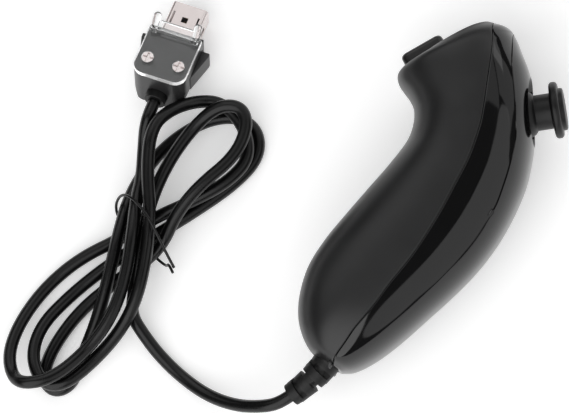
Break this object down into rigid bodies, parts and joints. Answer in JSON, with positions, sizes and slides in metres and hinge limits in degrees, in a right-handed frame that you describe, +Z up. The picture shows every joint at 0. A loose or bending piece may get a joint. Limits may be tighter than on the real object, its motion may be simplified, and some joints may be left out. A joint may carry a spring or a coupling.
{
  "type": "motion controller wand",
  "caption": "Curved handheld motion controller lying on its side, with thumbstick, finger buttons and a strain-relieved cord tied in a hank beside its latching plug.",
  "frame": {"origin": "centre of the underside of the box round the grip with its stick and buttons, cord left out, on the surface it lies on", "axes": "+X to the thumbstick side, +Y along the grip towards the head, +Z up from the surface"},
  "size_m": [0.1291, 0.1525, 0.0382],
  "materials": {
    "gloss_black": "gloss moulded",
    "satin_black": "satin moulded",
    "button_black": "semi-gloss moulded",
    "stick_black": "fine matt",
    "rubber_black": "matt",
    "cord_black": "satin",
    "grey_rubber": "matt",
    "board_green": "solder mask",
    "chip_black": "matt",
    "white_nylon": "moulded",
    "pom_white": "moulded",
    "plug_grey": "fine matt",
    "clear_plastic": "clear moulded",
    "shield_steel": "stamped",
    "screw_steel": "plated",
    "spring_steel": "wire",
    "gold_contact": "plated",
    "tan_ceramic": "matt",
    "wire_insulation": "soft"
  },
  "bodies": {
    "controller": {"thumb_shell": "gloss_black", "finger_shell": "satin_black", "shell_screws": "screw_steel", "strain_relief": "rubber_black", "button_board": "board_green", "button_board_screws": "screw_steel", "z_button_dome": "grey_rubber", "c_button_dome": "grey_rubber", "stick_housing": "shield_steel", "spring_plate": "pom_white", "centring_spring": "spring_steel", "lower_potentiometer": "chip_black", "side_potentiometer": "chip_black", "main_board": "board_green", "controller_chip": "chip_black", "motion_sensor": "chip_black", "cable_connector": "white_nylon", "main_board_screws": "screw_steel", "board_components": "tan_ceramic", "inner_wires": "wire_insulation", "plug_lower_housing": "plug_grey", "plug_upper_housing": "plug_grey", "plug_hook_plate": "clear_plastic", "plug_screws": "screw_steel", "plug_shield": "shield_steel", "plug_contact_block": "chip_black", "plug_contacts": "gold_contact", "plug_cord_collar": "rubber_black", "cord_lead": "cord_black", "cord_hank": "cord_black", "cord_plug_lead": "cord_black", "twist_tie": "cord_black"},
    "gimbal": {"gimbal_ring": "white_nylon", "lower_wiper": "gold_contact"},
    "stick": {"stick_shaft": "pom_white", "stick_cap": "stick_black"},
    "yoke": {"slotted_yoke": "white_nylon", "side_wiper": "gold_contact"},
    "large_button": {"z_button": "button_black"},
    "small_button": {"c_button": "button_black"},
    "left_release": {"release_button_left": "plug_grey"},
    "right_release": {"release_button_right": "plug_grey"}
  },
  "joints": [
    {"name": "stick_tilt_sideways", "type": "hinge", "parent": "controller", "child": "gimbal", "pos_m": [0.00886, 0.03006, 0.01911], "axis": [-0.5225, 0.8526, 0], "range_deg": [-17, 17], "stiffness_Nm_per_rad": 0.05},
    {"name": "stick_tilt_lengthways", "type": "hinge", "parent": "gimbal", "child": "stick", "pos_m": [0.00886, 0.03006, 0.01911], "axis": [0, 0, 1], "range_deg": [-17, 17], "stiffness_Nm_per_rad": 0.05},
    {"name": "yoke_tilt", "type": "hinge", "parent": "controller", "child": "yoke", "pos_m": [0.00886, 0.03006, 0.01911], "axis": [0, 0, 1], "range_deg": [-18, 18]},
    {"name": "large_button_press", "type": "slide", "parent": "controller", "child": "large_button", "axis": [0.7979, -0.6028, 0], "range_m": [0, 0.0016], "stiffness_N_per_m": 450, "springref_m": -0.0008},
    {"name": "small_button_press", "type": "slide", "parent": "controller", "child": "small_button", "axis": [0.7979, -0.6028, 0], "range_m": [0, 0.001], "stiffness_N_per_m": 500, "springref_m": -0.0008},
    {"name": "left_release_press", "type": "slide", "parent": "controller", "child": "left_release", "axis": [0.9969, 0.0785, 0], "range_m": [0, 0.001], "stiffness_N_per_m": 1200, "springref_m": -0.0006},
    {"name": "right_release_press", "type": "slide", "parent": "controller", "child": "right_release", "axis": [-0.9969, -0.0785, 0], "range_m": [0, 0.001], "stiffness_N_per_m": 1200, "springref_m": -0.0006}
  ],
  "couplings": [
    {"joint": "yoke_tilt", "follows": "stick_tilt_lengthways", "ratio": 1}
  ]
}
